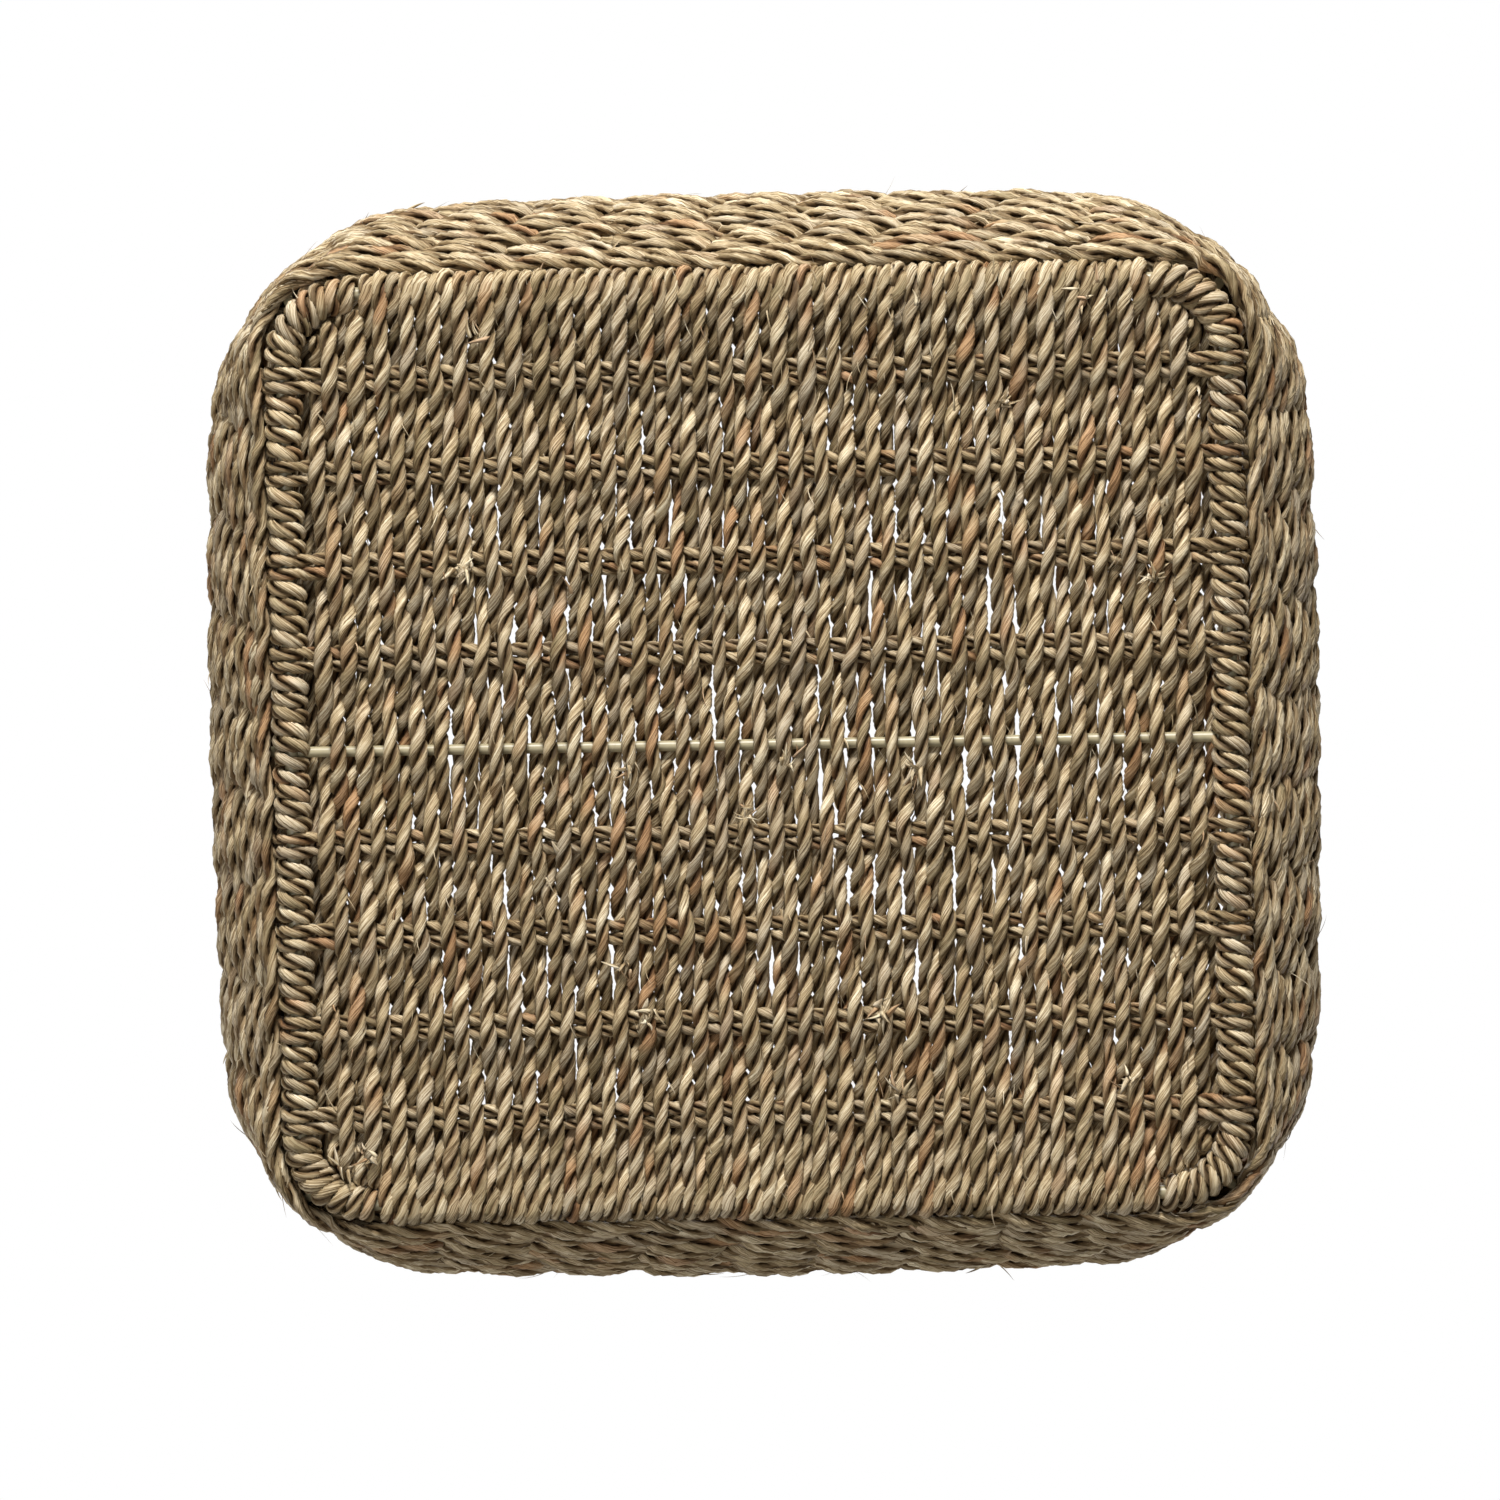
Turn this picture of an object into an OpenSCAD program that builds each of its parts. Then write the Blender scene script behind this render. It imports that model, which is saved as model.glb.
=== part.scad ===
// Seagrass storage basket: a wire frame of two rings, a cross bar and six posts, a base woven
// of cords hooked over the bottom ring, and walls of paired cord twined round upright stakes.
// The origin is at the middle of the footprint, on the floor. X runs along the cross bar.

/* [Base] */
// Width of the base ring between wire centres, along X
base_w = 350; // [290:5:420]
// Depth of the base ring between wire centres, along Y
base_d = 340; // [290:5:420]
// Corner radius of the base ring, on the wire's centre
base_corner_r = 26; // [22:1:32]

/* [Walls] */
// Overall height
height = 320; // [240:5:400]
// How far the walls swell outside the base ring
swell = 25.5; // [20:0.5:36]
// Extra bow of the middle of each side where the wall is widest
bow = 4; // [0:1:6]
// Height at which the wall is widest
swell_z = 60; // [52:1:110]
// How far the rim draws back in from the widest point
draw_in = 5; // [0:1:12]
// Corner radius of the walls from the widest point up
wall_corner_r = 81; // [72:1:92]
// Number of courses of weaving in the wall
courses = 8; // [6:1:10]

/* [Wire] */
// Diameter of the wire of both rings
ring_wire = 5; // [4:0.5:6]
// Diameter of the cross bar
cross_wire = 4; // [3:0.5:4.5]
// Diameter of the upright posts
post_wire = 4; // [3:0.5:4.5]

/* [Cords] */
// Thickness of a base cord
base_cord = 4.8; // [4:0.1:5.5]
// Sideways gap between neighbouring base cords
base_cord_gap = 0.15; // [0.1:0.05:0.4]
// Thickness of one cord of a stake
stake_cord = 4.6; // [4:0.1:5]
// Distance from one stake to the next
stake_pitch = 34.6; // [30:0.2:40]
// Thickness of a twined cord of the wall
weaver_cord = 4.5; // [4:0.1:5.5]
// Thickness of the cord wrapped round both rings
wrap_cord = 5.3; // [4.5:0.1:6]
// Depth of the hollow between two stakes, outside and inside
pinch = 2; // [1:0.1:3]

/* [Hidden] */
fit = 0.1;          // clearance round a wire
pair_gap = 0.5;     // gap between the two cords of a stake
slack = 1.0;        // room on each side of a stake between the wall's two layers
seat = 0.4;         // clearance between the weaving and the wrapped rings
press = 0.4;        // how far the base wrapping is pressed flat where it stands
stake_slot = 0.3;   // clearance beside a stake where it passes the base ring
post_slot = 0.4;    // clearance beside a post in the wrapping
wrap_gap = 0.1;     // gap between one length of wrapping or of wall and the next
lip_z = 8.3;        // lowest edge of the outside layer of the wall
bend_z = 11;        // where the wall starts to lean out
flare = 1.6;        // how evenly it leans, from 1, a straight cone, to 2, an even curve
bow_stop = 0.3;     // share of the corner radius where the bow ends, in from the corner
weft_rise = 1.2;    // how far the middle of the base weaving lies above the base ring's middle
hook_from = -120;   // angles round the base ring where the hook of a base cord starts and ends
hook_to = 105;
arc_step = 22.5;    // degrees between points on a bend of a cord
turn_from = -150;   // angle round the base ring where a stake starts to turn up
turn_step = 30;
least_run = 1;      // shortest end of a cord or of wrapping that is made
curved_courses = 2; // courses that follow the swell, drawn in three steps each
curve_steps = 3;
post_sides = 8;
bar_fn = 36;
bend_fn = 64;

ring_r = ring_wire / 2;
wrap_r = ring_r + fit + wrap_cord;
ring_z = wrap_r - press;
rim_z = height - wrap_r;
hook_r = ring_r + fit + base_cord / 2;
turn_r = ring_r + fit + stake_cord / 2;
weft_z = ring_z + weft_rise;
lift = stake_cord / 2 + base_cord / 2 + 2 * fit;
gap_half = stake_cord / 2 + slack;
lean_from = max(turn_r + stake_slot, wrap_r + seat - gap_half);
wall_half = gap_half + weaver_cord;
wall_lo = ring_z + wrap_r + seat;
wall_hi = rim_z - wrap_r - seat;
cord_pitch = base_cord + base_cord_gap;
pair_half = stake_cord + pair_gap / 2;
pair_offset = (stake_cord + pair_gap) / 2;
side_rows = floor((base_d / 2 - base_corner_r - pair_half) / stake_pitch);
end_rows = floor((base_w / 2 - base_corner_r - pair_half) / stake_pitch);
cord_limit = base_w / 2 - wrap_r - fit - base_cord / 2;
cords_each_way = floor(cord_limit / cord_pitch);
cord_groups = 4;
cord_count = 2 * cords_each_way + 1;

COURSES = [for (i = [1:courses]) str("wall_course_", i)];
STAKES = [for (k = [-side_rows:side_rows]) if (k != 0)
    str("base_stake_", k < 0 ? "front_" : "back_", abs(k))];
CORDS = [for (g = [1:cord_groups]) str("base_cords_", g)];
CORNERS = ["back_right", "back_left", "front_left", "front_right"];
POSTS = [for (c = CORNERS) str("corner_post_", c)];

wire_colour = "wheat";
cord_colour = "tan";
wrap_colour = "burlywood";
wall_colour = "rosybrown";

// ---- Wall shape: each side is worked out as if it were the right-hand one, then turned ----

// Share of the swell that is reached at a height, 0 at the base ring and 1 at the widest point
function swell_share(z) = 1 - pow(1 - max(0, min(1, (z - bend_z) / (swell_z - bend_z))), flare);
// Share of the way from the widest point up to the rim
function above(z) = max(0, min(1, (z - swell_z) / (rim_z - swell_z)));
function swell_at(z) =
    lean_from + (swell - lean_from) * swell_share(z) - draw_in * (1 - cos(180 * above(z))) / 2;
function corner_at(z) = base_corner_r + (wall_corner_r - base_corner_r) * swell_share(z);
function bow_at(z) = bow * swell_share(z) * (1 - above(z));
function half_out(s, z) = (s % 2 == 0 ? base_w : base_d) / 2 + swell_at(z);
function half_along(s, z) = (s % 2 == 0 ? base_d : base_w) / 2 + swell_at(z);
function rows_on(s) = s % 2 == 0 ? side_rows : end_rows;
// Angle of the wall's outward normal at a distance along a side
function fan(s, z, a) = let (flat = half_along(s, z) - corner_at(z))
    abs(a) > flat ? sign(a) * asin(min(1, (abs(a) - flat) / corner_at(z))) : 0;
function side_local(s, z, a, off) =
    let (b = fan(s, z, a), r = corner_at(z), reach = half_along(s, z) - bow_stop * r)
    [half_out(s, z) - r * (1 - cos(b)) + bow_at(z) * max(0, 1 - pow(a / reach, 2)) + off * cos(b),
        a + off * sin(b)];
function corner_local(s, z, g, off) =
    let (r = corner_at(z))
    [half_out(s, z) - r + (r + off) * cos(g), half_along(s, z) - r + (r + off) * sin(g)];
function last_fan(s, z) = fan(s, z, rows_on(s) * stake_pitch);
function corner_angle(s, z, q) =
    q == 0 ? 45 : q < 0 ? (last_fan(s, z) + 45) / 2 : 90 - (last_fan(s + 1, z) + 45) / 2;
function turned(s, p) = [p.x * cos(90 * s) - p.y * sin(90 * s), p.x * sin(90 * s) + p.y * cos(90 * s)];
// A column is [side, at a corner?, place]; the place counts stakes from the middle of the side
COLUMNS = [for (s = [0:3]) each concat(
    [for (t = [-2 * rows_on(s):2 * rows_on(s)]) [s, false, t / 2]],
    [for (q = [-1:1]) [s, true, q]])];
function is_stake(c) = c[1] ? c[2] == 0 : c[2] == round(c[2]);
// A column's point at a height, at a distance out from the wall's middle surface
// and shifted along the wall
function column_xy(c, z, off, shift = 0) =
    let (g = c[1] ? corner_angle(c[0], z, c[2]) : fan(c[0], z, c[2] * stake_pitch))
    turned(c[0], shift * [-sin(g), cos(g)]
        + (c[1] ? corner_local(c[0], z, g, off) : side_local(c[0], z, c[2] * stake_pitch, off)));
// Columns where a band is parted into lengths: the middle of each corner and where each flat side ends
PARTINGS = [for (i = [0:len(COLUMNS) - 1]) let (c = COLUMNS[i])
    if (c[1] ? c[2] == 0 : abs(c[2]) == max(1, rows_on(c[0]) - 1)) i];

course_h = (wall_hi - wall_lo) / courses;
function course_levels(i) = let (n = i <= curved_courses ? curve_steps : 1)
    [for (k = [0:n]) wall_lo + course_h * (i - 1 + k / n)];
LEVELS = concat([wall_lo],
    [for (i = [1:courses]) each [for (k = [1:len(course_levels(i)) - 1]) course_levels(i)[k]]]);

// ---- Solids ----

// Closed tube through rings of equally many points. A long, bent ring has its ends closed in strips
module skin(rings, strips = false) {
    m = len(rings[0]);
    n = len(rings);
    cap = strips ? [for (j = [0:m / 2 - 2]) [j, j + 1, m - 2 - j, m - 1 - j]] : [[for (i = [0:m - 1]) i]];
    polyhedron(
        points = [for (r = rings) each r],
        faces = concat(
            cap,
            [for (j = [0:n - 2], i = [0:m - 1]) each
                let (a = j * m + i, b = j * m + (i + 1) % m) [[a, a + m, b], [b, a + m, b + m]]],
            [for (f = cap) [for (i = reversed(f)) (n - 1) * m + i]]));
}

// Band round the basket, parted into lengths, between two offsets from the wall's middle surface
module band(levels, near, far_stake, far_pinch) {
    n = len(COLUMNS);
    m = len(PARTINGS);
    // Each column is a closed loop of points: up the near face, then down the far face
    function column(c, shift) = let (far = is_stake(c) ? far_stake : far_pinch) concat(
        [for (z = levels) concat(column_xy(c, z, near, shift), [z])],
        [for (j = [len(levels) - 1:-1:0]) concat(column_xy(c, levels[j], far, shift), [levels[j]])]);
    function facing(ring) = far_stake > near ? ring : reversed(ring);
    for (p = [0:m - 1]) {
        first = PARTINGS[p];
        last = p + 1 < m ? PARTINGS[p + 1] : PARTINGS[0] + n;
        skin([for (i = [first:last])
            facing(column(COLUMNS[i % n], i == first ? wrap_gap / 2 : i == last ? -wrap_gap / 2 : 0))],
            strips = true);
    }
}

// Rounded rectangle of round bar, or of tube where bore is given
module bar_corner(r, radius, bore, from, to) {
    rotate([0, 0, from]) rotate_extrude(angle = to - from, $fn = bend_fn) translate([radius, 0])
        difference() {
            circle(r = r, $fn = bar_fn);
            if (bore > 0) circle(r = bore, $fn = bar_fn);
        }
}

module bar_run(r, bore, length) {
    difference() {
        cylinder(r = r, h = length, $fn = bar_fn);
        if (bore > 0) translate([0, 0, -1]) cylinder(r = bore, h = length + 2, $fn = bar_fn);
    }
}

module wire_ring(w, d, corner, z) {
    color(wire_colour) translate([0, 0, z]) union() {
        for (s = [0:3]) {
            out = (s % 2 == 0 ? w : d) / 2;
            along = (s % 2 == 0 ? d : w) / 2;
            rotate([0, 0, 90 * s]) {
                translate([out, corner - along, 0]) rotate([-90, 0, 0])
                    bar_run(ring_r, 0, 2 * (along - corner));
                translate([out - corner, along - corner, 0]) bar_corner(ring_r, corner, 0, 0, 90);
            }
        }
    }
}

module base_ring() wire_ring(base_w, base_d, base_corner_r, ring_z);

module rim_ring()
    wire_ring(base_w + 2 * swell_at(rim_z), base_d + 2 * swell_at(rim_z), wall_corner_r, rim_z);

module cross_bar() {
    reach = base_w / 2 - ring_r;
    color(wire_colour) translate([-reach, 0, weft_z]) rotate([0, 90, 0])
        cylinder(d = cross_wire, h = 2 * reach, $fn = bar_fn);
}

// Upright wire from the base ring to the rim ring, along one column of the wall
module post(c) {
    foot = column_xy(c, ring_z, -lean_from);
    head_z = rim_z - ring_r;
    path = concat([concat(foot, [ring_z + ring_r])],
        [for (z = LEVELS) concat(column_xy(c, z, 0), [z])],
        [concat(column_xy(c, rim_z, 0), [head_z])]);
    color(wire_colour) skin([for (p = path) [for (i = [0:post_sides - 1])
        p + post_wire / 2 * [cos(360 * i / post_sides), sin(360 * i / post_sides), 0]]]);
}

// ---- Base weaving ----

function reversed(v) = [for (i = [len(v) - 1:-1:0]) v[i]];
// Unit normal on the left of a path at its i-th point, long enough to keep a ribbon's width at a bend
function bend_normal(p, i) =
    let (a = p[max(0, i - 1)], b = p[i], c = p[min(len(p) - 1, i + 1)],
         u = i > 0 ? (b - a) / norm(b - a) : (c - b) / norm(c - b),
         v = i < len(p) - 1 ? (c - b) / norm(c - b) : u,
         m = [-(u.y + v.y), u.x + v.x] / 2)
    m / (m * m);
function ribbon(p, half) = concat(
    [for (i = [0:len(p) - 1]) p[i] + half * bend_normal(p, i)],
    [for (i = [len(p) - 1:-1:0]) p[i] - half * bend_normal(p, i)]);

// Half of a base cord's path from the middle of the base, as [distance along Y, Z]
function over(i, k) = (abs(i) + k) % 2 == 0 ? -1 : 1;
function woven_half(i) = [for (k = [0:side_rows]) each
    let (z = weft_z + over(i, k) * lift, y = k * stake_pitch, w = k == 0 ? cross_wire / 2 : pair_half)
    k == 0 ? [[w, z]] : [[y - w, z], [y + w, z]]];
function hook_end() = [for (a = [hook_from:arc_step:hook_to])
    [base_d / 2 + hook_r * cos(a), ring_z + hook_r * sin(a)]];
// Where a cord that meets the ring's rounded corner stops, short of the wrapping
function corner_end_y(x) =
    let (inner = base_corner_r - wrap_r, dx = abs(x) + base_cord / 2 - (base_w / 2 - base_corner_r))
    base_d / 2 - base_corner_r + sqrt(max(0, inner * inner - dx * dx)) - seat;
function hooks(x) = abs(x) + base_cord / 2 <= base_w / 2 - base_corner_r;
function plain_end(i, x) = let (last = side_rows * stake_pitch + pair_half)
    corner_end_y(x) > last + least_run ? [[corner_end_y(x), weft_z + over(i, side_rows) * lift]] : [];
function cord_half(i, x) = concat(woven_half(i), hooks(x) ? hook_end() : plain_end(i, x));
function mirrored(p) = [for (q = reversed(p)) [-q.x, q.y]];
function cord_path(i, x) = concat(mirrored(cord_half(i, x)), cord_half(i, x));

module base_cord_at(i) {
    x = i * cord_pitch;
    // The path is drawn in the plane of Y and Z, and the cord's width runs along X
    translate([x - base_cord / 2, 0, 0]) rotate([90, 0, 90]) linear_extrude(base_cord)
        polygon(ribbon(cord_path(i, x), base_cord / 2));
}

module base_cords(g) {
    first = ceil((g - 1) * cord_count / cord_groups) - cords_each_way;
    last = ceil(g * cord_count / cord_groups) - 1 - cords_each_way;
    color(cord_colour) for (i = [first:last]) base_cord_at(i);
}

// One cord through points that each carry their two half-width directions
module stake_cord_through(stations) {
    color(cord_colour) skin([for (s = stations)
        let (h = stake_cord / 2, p = s[0], t = s[1] * h, n = s[2] * h)
        [p - t - n, p + t - n, p + t + n, p - t + n]]);
}

// Rise of a stake inside a wall: place along side s, with the offset of one cord of the pair
function rise(s, a, da) = [for (z = LEVELS)
    let (b = fan(s, z, a), q = side_local(s, z, a, 0) + da * [-sin(b), cos(b)])
    [concat(turned(s, q), [z]),
        concat(turned(s, [-sin(b), cos(b)]), [0]),
        concat(turned(s, [-cos(b), -sin(b)]), [0])]];

// Base part of a stake on the right, from the middle out and round under the ring
function base_run(y) = concat(
    [for (x = [0, cord_limit + base_cord / 2 + seat]) [[x, y, weft_z], [0, 1, 0], [0, 0, 1]]],
    [for (a = [turn_from:turn_step:0])
        [[base_w / 2 + turn_r * cos(a), y, ring_z + turn_r * sin(a)], [0, 1, 0], [-cos(a), 0, -sin(a)]]]);
function mirror_station(s) = [for (v = s) [-v.x, v.y, v.z]];

module base_stake(k) {
    for (d = [-1, 1]) {
        da = d * pair_offset;
        right = concat(base_run(k * stake_pitch + da), rise(0, k * stake_pitch, da));
        left = [for (s = reversed(right)) mirror_station(s)];
        stake_cord_through(concat([for (i = [0:len(left) - 2]) left[i]], right));
    }
}

module wall_stakes(s) {
    for (k = [-rows_on(s):rows_on(s)], d = [-1, 1])
        stake_cord_through(rise(s, k * stake_pitch, d * pair_offset));
}

// ---- Wrapping and wall ----

// Wrapping of one base rail between the stakes and round both of its corners, pressed flat below
module rail_wrap(s) {
    slot = pair_half + stake_slot;
    post_half = post_wire / 2 + post_slot;
    bore = ring_r + fit;
    straight = base_d / 2 - base_corner_r;
    corner_slot = asin(post_half / (base_corner_r - ring_r));
    // Ends of the runs along the rail: stakes on both sides, and the post in the middle
    runs = concat(
        [for (k = [1:side_rows])
            [k == 1 ? post_half : (k - 1) * stake_pitch + slot, k * stake_pitch - slot]],
        side_rows * stake_pitch + slot + least_run < straight
            ? [[side_rows * stake_pitch + slot, straight]] : []);
    color(wrap_colour) difference() {
        translate([0, 0, ring_z]) rotate([0, 0, 90 * s]) for (m = [0, 1]) mirror([0, m, 0]) {
            for (r = runs) translate([base_w / 2, r[0], 0]) rotate([-90, 0, 0])
                bar_run(wrap_r, bore, r[1] - r[0]);
            translate([base_w / 2 - base_corner_r, straight, 0]) {
                bar_corner(wrap_r, base_corner_r, bore, 0, 45 - corner_slot);
                bar_corner(wrap_r, base_corner_r, bore, 45 + corner_slot, 90);
            }
        }
        translate([-base_w, -base_d, -wrap_r]) cube([2 * base_w, 2 * base_d, wrap_r]);
    }
}

module rim_wrap() {
    half = post_wire / 2 + post_slot;
    bore = ring_r + fit;
    corner_slot = asin(half / (wall_corner_r - ring_r));
    color(wrap_colour) translate([0, 0, rim_z]) for (s = [0:3]) {
        out = half_out(s, rim_z);
        straight = half_along(s, rim_z) - wall_corner_r;
        from = s % 2 == 0 ? half : wrap_gap;
        rotate([0, 0, 90 * s]) {
            for (m = [0, 1]) mirror([0, m, 0])
                translate([out, from, 0]) rotate([-90, 0, 0])
                    bar_run(wrap_r, bore, straight - wrap_gap - from);
            translate([out - wall_corner_r, straight, 0]) {
                bar_corner(wrap_r, wall_corner_r, bore, 0, 45 - corner_slot);
                bar_corner(wrap_r, wall_corner_r, bore, 45 + corner_slot, 90);
            }
        }
    }
}

// One course of the wall: the outside and the inside passes of its twined cords
module wall_course(i) {
    levels = course_levels(i);
    color(wall_colour) {
        band(i == 1 ? concat([lip_z], levels) : levels, gap_half, wall_half, wall_half - pinch);
        band(levels, -gap_half, -wall_half, pinch - wall_half);
    }
}

base_ring();
cross_bar();
rim_ring();
post([0, false, 0]);  // side_post_right
post([2, false, 0]);  // side_post_left
for (c = [0:3]) post([c, true, 0]);
for (g = [1:cord_groups]) base_cords(g);
for (k = [1:side_rows]) {
    base_stake(-k);
    base_stake(k);
}
wall_stakes(3);  // front_stakes
wall_stakes(1);  // back_stakes
rail_wrap(2);  // left_rail_wrap
rail_wrap(0);  // right_rail_wrap
rim_wrap();
for (i = [1:courses]) wall_course(i);
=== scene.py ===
import math

import bpy
import numpy as np
from mathutils import Euler, Matrix, Vector


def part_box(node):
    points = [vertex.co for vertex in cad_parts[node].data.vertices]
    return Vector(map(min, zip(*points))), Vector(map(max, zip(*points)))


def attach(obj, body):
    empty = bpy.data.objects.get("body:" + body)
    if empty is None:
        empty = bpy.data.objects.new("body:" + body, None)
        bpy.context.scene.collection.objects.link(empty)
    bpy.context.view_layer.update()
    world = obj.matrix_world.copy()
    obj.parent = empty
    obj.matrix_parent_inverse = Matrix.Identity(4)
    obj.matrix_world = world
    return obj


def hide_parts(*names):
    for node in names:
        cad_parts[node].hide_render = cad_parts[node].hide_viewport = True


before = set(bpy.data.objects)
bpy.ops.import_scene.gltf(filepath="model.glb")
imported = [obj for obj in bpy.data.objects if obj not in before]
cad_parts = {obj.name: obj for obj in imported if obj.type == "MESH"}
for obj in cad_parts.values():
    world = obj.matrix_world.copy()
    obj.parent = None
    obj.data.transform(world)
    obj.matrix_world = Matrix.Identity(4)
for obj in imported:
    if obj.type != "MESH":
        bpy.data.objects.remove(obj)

bl_info = {
    "name": "Seagrass basket",
    "version": (1, 0, 0),
    "blender": (4, 5, 0),
    "location": "3D View > Sidebar > Basket",
    "description": "Weaves a square seagrass storage basket on its wire frame",
    "category": "Object",
}

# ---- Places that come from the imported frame, in metres ----

RING_LO, RING_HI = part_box("base_ring")
RIM_LO, RIM_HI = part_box("rim_ring")
BAR_LO, BAR_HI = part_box("cross_bar")
STAKE_LO, STAKE_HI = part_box("base_stake_back_1")
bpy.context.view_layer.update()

RING_WIRE = RING_HI.z - RING_LO.z
RING_Z = (RING_HI.z + RING_LO.z) / 2
RING_HALF = (RING_HI.x - RING_WIRE / 2, RING_HI.y - RING_WIRE / 2)
RIM_Z = (RIM_HI.z + RIM_LO.z) / 2
RIM_OUT = RIM_HI.x - RIM_LO.x - (RING_HI.x - RING_LO.x)
WEFT_Z = (BAR_HI.z + BAR_LO.z) / 2
BAR_WIRE = BAR_HI.z - BAR_LO.z
STAKE_PITCH = (STAKE_HI.y + STAKE_LO.y) / 2
STAKE_CORD = (STAKE_HI.y - STAKE_LO.y) / 2

# ---- Counts and sizes that the boxes don't give ----

SIDE_STAKES = 4  # stakes each way from the middle of a side
SIDE_UNITS = 10  # stakes from one side's first to the next side's first
BASKET_UNITS = 4 * SIDE_UNITS
COURSES = 8
CORD_GROUPS = 4
WIRES = 9
BASE_CORNER_R = 0.026  # corner radius of the base ring
WALL_CORNER_R = 0.081  # corner radius of the wall from its widest height up
WRAP_R = 0.0079  # outside radius of a wrapped ring
CORD_SEAT = 0.0025  # from the surface of a wire to the middle of a cord that lies against it
BEND_Z = 0.011  # where the wall starts to lean out
SWELL_Z = 0.060  # where it is widest
FLARE = 1.6  # how evenly it leans, from 1, a straight cone, to 2, an even curve
LEAN_FROM = 0.0052  # how far outside the base ring it starts
SWELL = 0.0255  # how far outside the base ring it is at its widest
BOW = 0.004  # extra bow of the middle of each side
BOW_STOP = 0.3  # share of the corner radius where the bow ends, in from the corner
TINY = 1e-12


class BasketSizes(bpy.types.PropertyGroup):
    """Sizes and colours of the weaving that a maker would choose"""

    base_cord: bpy.props.FloatProperty(
        name="Base cord", description="Width of a cord of the base", default=0.0058, unit="LENGTH")
    base_pitch: bpy.props.FloatProperty(
        name="Base pitch", description="Distance from one base cord to the next", default=0.00492,
        unit="LENGTH")
    wall_cord: bpy.props.FloatProperty(
        name="Wall cord", description="Width of a cord of the wall", default=0.0065, unit="LENGTH")
    row_pitch: bpy.props.FloatProperty(
        name="Row pitch", description="Distance from one row of the wall to the next", default=0.0058,
        unit="LENGTH")
    wrap_cord: bpy.props.FloatProperty(
        name="Wrapping cord", description="Width of the cord wound round the rings", default=0.0056,
        unit="LENGTH")
    twist_pitch: bpy.props.FloatProperty(
        name="Twist", description="Length of one full turn of the two plies", default=0.0225, unit="LENGTH")
    straw: bpy.props.FloatVectorProperty(
        name="Straw", description="Main colour of the dried grass", subtype="COLOR", size=3,
        default=(0.50, 0.385, 0.225), min=0.0, max=1.0)
    pale: bpy.props.FloatVectorProperty(
        name="Pale grass", description="Colour of the sun-bleached leaves", subtype="COLOR", size=3,
        default=(0.80, 0.69, 0.48), min=0.0, max=1.0)
    olive: bpy.props.FloatVectorProperty(
        name="Olive grass", description="Colour of the greenish leaves", subtype="COLOR", size=3,
        default=(0.250, 0.190, 0.095), min=0.0, max=1.0)
    russet: bpy.props.FloatVectorProperty(
        name="Russet grass", description="Colour of the reddish leaves", subtype="COLOR", size=3,
        default=(0.44, 0.235, 0.105), min=0.0, max=1.0)
    grey: bpy.props.FloatVectorProperty(
        name="Grey grass", description="Colour of the weathered leaves", subtype="COLOR", size=3,
        default=(0.52, 0.44, 0.325), min=0.0, max=1.0)
    wire: bpy.props.FloatVectorProperty(
        name="Wire", description="Colour of the coating on the wire", subtype="COLOR", size=3,
        default=(0.38, 0.325, 0.195), min=0.0, max=1.0)


# ---- Curves ----

def unit(v):
    """Each row of v at length one."""
    return v / np.maximum(np.linalg.norm(v, axis=-1, keepdims=True), TINY)


def smooth(points, per=10):
    """A smooth curve through the points."""
    p = np.asarray(points, float)
    p = np.vstack([2 * p[0] - p[1], p, 2 * p[-1] - p[-2]])
    t = np.linspace(0, 1, per, endpoint=False)[:, None]
    parts = []
    for i in range(1, len(p) - 2):
        a, b, c, d = p[i - 1], p[i], p[i + 1], p[i + 2]
        parts.append(0.5 * (2 * b + (c - a) * t + (2 * a - 5 * b + 4 * c - d) * t**2
                            + (3 * b - a - 3 * c + d) * t**3))
    return np.vstack(parts + [p[-2:-1]])


def distances(path):
    """Distance along the path of each of its points."""
    return np.concatenate([[0], np.cumsum(np.linalg.norm(np.diff(path, axis=0), axis=1))])


def even(path, step, *others):
    """The path at even steps, with any other rows of values that go with its points."""
    along = distances(path)
    count = max(3, int(round(along[-1] / step)) + 1)
    at = np.linspace(0, along[-1], count)
    return [np.column_stack([np.interp(at, along, v[:, k]) for k in range(v.shape[1])])
            for v in (path, *others)]


def wander(rng, length, spacing, at):
    """Smooth random values from -1 to 1 along a length, a new one every spacing."""
    knots = rng.uniform(-1, 1, int(length / spacing) + 3)
    place = np.asarray(at) / spacing
    i = np.floor(place).astype(int)
    t = place - i
    t = t * t * (3 - 2 * t)
    return knots[i] * (1 - t) + knots[i + 1] * t


def drift(rng, length, at, how):
    """Smooth random values along a length. how gives the most that they reach and their spacing."""
    reach, spacing = how
    return reach * wander(rng, length, spacing, at)


# ---- Wall shape ----

def swell_share(z):
    """Share of the swell reached at a height, from 0 at the base ring to 1 at the widest."""
    return 1 - (1 - np.clip((z - BEND_Z) / (SWELL_Z - BEND_Z), 0, 1)) ** FLARE


def above(z):
    """Share of the way from the widest height up to the rim."""
    return np.clip((z - SWELL_Z) / (RIM_Z - SWELL_Z), 0, 1)


def swell_at(z):
    """How far the wall stands outside the base ring at a height."""
    draw_in = SWELL - RIM_OUT / 2
    return LEAN_FROM + (SWELL - LEAN_FROM) * swell_share(z) - draw_in * (1 - np.cos(math.pi * above(z))) / 2


def corner_at(z):
    return BASE_CORNER_R + (WALL_CORNER_R - BASE_CORNER_R) * swell_share(z)


def bow_at(z):
    return BOW * swell_share(z) * (1 - above(z))


def half_out(side, z):
    return RING_HALF[side % 2] + swell_at(z)


def half_along(side, z):
    return RING_HALF[(side + 1) % 2] + swell_at(z)


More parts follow.
